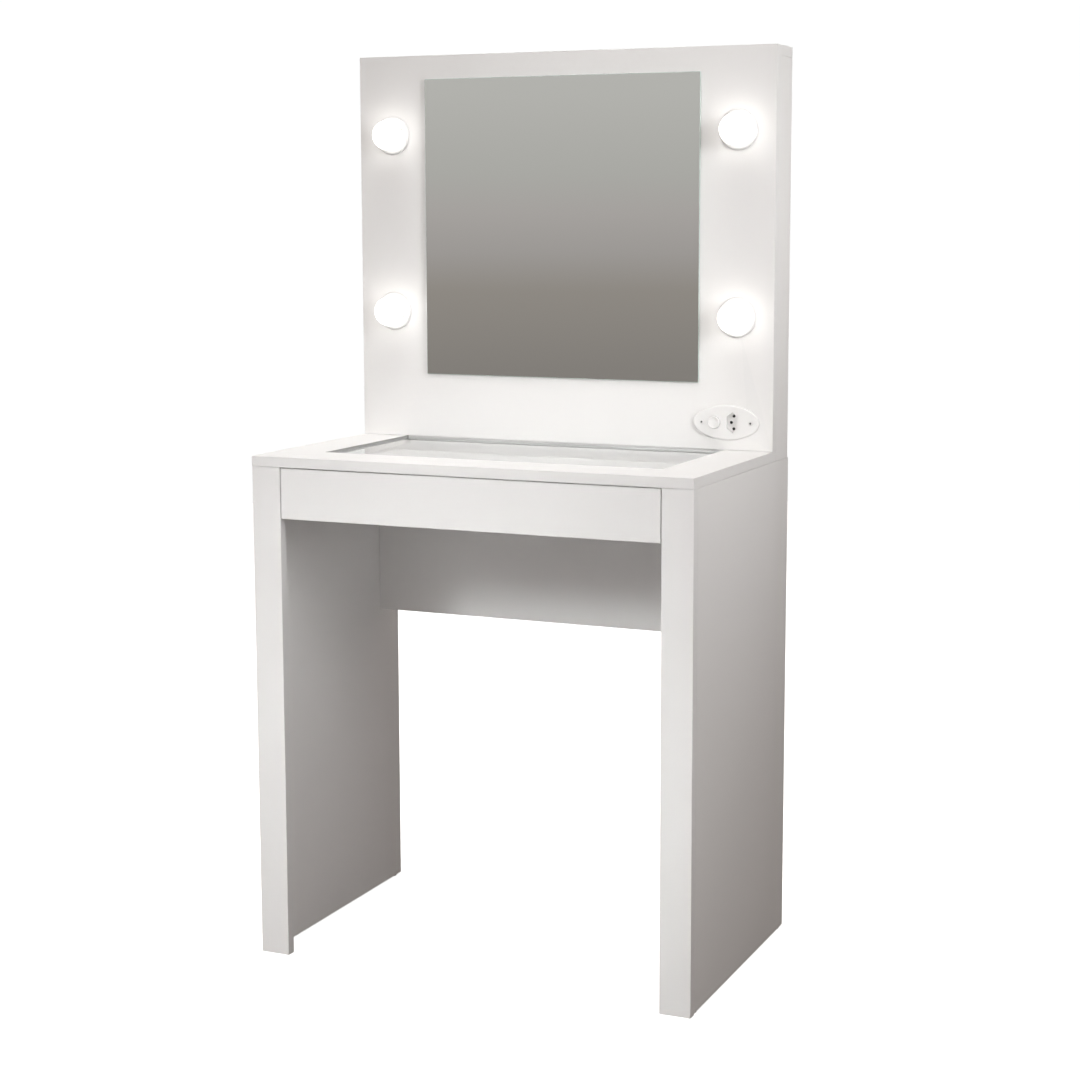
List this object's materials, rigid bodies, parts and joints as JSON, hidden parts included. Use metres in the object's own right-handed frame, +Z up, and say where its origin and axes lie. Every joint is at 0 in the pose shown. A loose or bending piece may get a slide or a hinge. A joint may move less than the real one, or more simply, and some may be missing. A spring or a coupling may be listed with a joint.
{
  "type": "vanity table with mirror",
  "caption": "White board dressing table with a glazed top over a roller drawer and a standing mirror housing with globe lamps, a light switch and a socket.",
  "frame": {"origin": "on the floor under the middle of the table, at the centre of its bounding box's underside", "axes": "+X to the right of a person sitting at the table, -Y is the front with the drawer, +Z up"},
  "size_m": [0.68, 0.414, 1.333],
  "materials": {
    "white_board": "white melamine laminate on particle board, fine satin pebble, edges banded to match",
    "white_sheet": "thin hardboard, painted white and smooth on its upper face",
    "hardboard": "thin brown hardboard, smooth on the outer face",
    "clear_glass": "clear float glass, polished edges",
    "mirror_glass": "silvered float glass, bright and flawless",
    "foam_tape": "dark foam mounting tape",
    "runner_steel": "white epoxy-coated folded sheet steel",
    "roller_nylon": "off-white nylon",
    "glide_plastic": "dark brown moulded plastic, matt",
    "white_plastic": "white moulded plastic, satin to glossy",
    "lit_globe": "opal diffuser, lit from inside",
    "plated_steel": "bright zinc or nickel plating",
    "insulator": "white heat-proof moulding, matt",
    "wire_pvc": "black flexible covering, matt"
  },
  "bodies": {
    "table": {"left_side_panel": "white_board", "right_side_panel": "white_board", "left_front_stile": "white_board", "right_front_stile": "white_board", "rear_apron": "white_board", "tabletop": "white_board", "left_runner_batten": "white_board", "right_runner_batten": "white_board", "mirror_panel": "white_board", "housing_side_left": "white_board", "housing_side_right": "white_board", "housing_cap": "white_board", "housing_bottom": "white_board", "housing_back": "hardboard", "tabletop_glass": "clear_glass", "mirror_glass": "mirror_glass", "mirror_tape_left": "foam_tape", "mirror_tape_right": "foam_tape", "left_cabinet_runner": "runner_steel", "right_cabinet_runner": "runner_steel", "front_left_glide": "glide_plastic", "rear_left_glide": "glide_plastic", "front_right_glide": "glide_plastic", "rear_right_glide": "glide_plastic", "upper_left_lampholder": "white_plastic", "upper_left_holder_nut": "white_plastic", "lower_left_lampholder": "white_plastic", "lower_left_holder_nut": "white_plastic", "upper_right_lampholder": "white_plastic", "upper_right_holder_nut": "white_plastic", "lower_right_lampholder": "white_plastic", "lower_right_holder_nut": "white_plastic", "outlet_plate": "white_plastic", "upper_left_bulb_globe": "lit_globe", "lower_left_bulb_globe": "lit_globe", "upper_right_bulb_globe": "lit_globe", "lower_right_bulb_globe": "lit_globe", "upper_left_bulb_cap": "plated_steel", "lower_left_bulb_cap": "plated_steel", "upper_right_bulb_cap": "plated_steel", "lower_right_bulb_cap": "plated_steel", "plate_screw_left": "plated_steel", "plate_screw_right": "plated_steel", "socket_body": "insulator", "switch_body": "insulator", "terminal_block": "insulator", "lamp_wiring": "wire_pvc", "cable_grommet": "wire_pvc"},
    "drawer": {"drawer_front": "white_board", "drawer_side_left": "white_board", "drawer_side_right": "white_board", "drawer_back": "white_board", "drawer_base": "white_sheet", "left_drawer_runner": "runner_steel", "right_drawer_runner": "runner_steel"},
    "light_switch": {"light_switch_button": "white_plastic"},
    "left_front_roller": {"left_front_roller": "roller_nylon"},
    "left_rear_roller": {"left_rear_roller": "roller_nylon"},
    "right_front_roller": {"right_front_roller": "roller_nylon"},
    "right_rear_roller": {"right_rear_roller": "roller_nylon"}
  },
  "joints": [
    {"name": "drawer_slide", "type": "slide", "parent": "table", "child": "drawer", "axis": [0, -1, 0], "range_m": [0, 0.22]},
    {"name": "light_switch_press", "type": "slide", "parent": "table", "child": "light_switch", "axis": [0, 1, 0], "range_m": [0, 0.0025], "stiffness_N_per_m": 800},
    {"name": "left_front_roller_spin", "type": "hinge", "parent": "table", "child": "left_front_roller", "pos_m": [-0.29, -0.1733, 0.6839], "axis": [1, 0, 0], "continuous": true},
    {"name": "left_rear_roller_spin", "type": "hinge", "parent": "drawer", "child": "left_rear_roller", "pos_m": [-0.2888, 0.0947, 0.6805], "axis": [1, 0, 0], "continuous": true},
    {"name": "right_front_roller_spin", "type": "hinge", "parent": "table", "child": "right_front_roller", "pos_m": [0.29, -0.1733, 0.6839], "axis": [1, 0, 0], "continuous": true},
    {"name": "right_rear_roller_spin", "type": "hinge", "parent": "drawer", "child": "right_rear_roller", "pos_m": [0.2888, 0.0947, 0.6805], "axis": [1, 0, 0], "continuous": true}
  ],
  "couplings": [
    {"joint": "left_front_roller_spin", "follows": "drawer_slide", "rad_per_m": 83.333},
    {"joint": "left_rear_roller_spin", "follows": "drawer_slide", "rad_per_m": 90.909},
    {"joint": "right_front_roller_spin", "follows": "drawer_slide", "rad_per_m": 83.333},
    {"joint": "right_rear_roller_spin", "follows": "drawer_slide", "rad_per_m": 90.909}
  ]
}
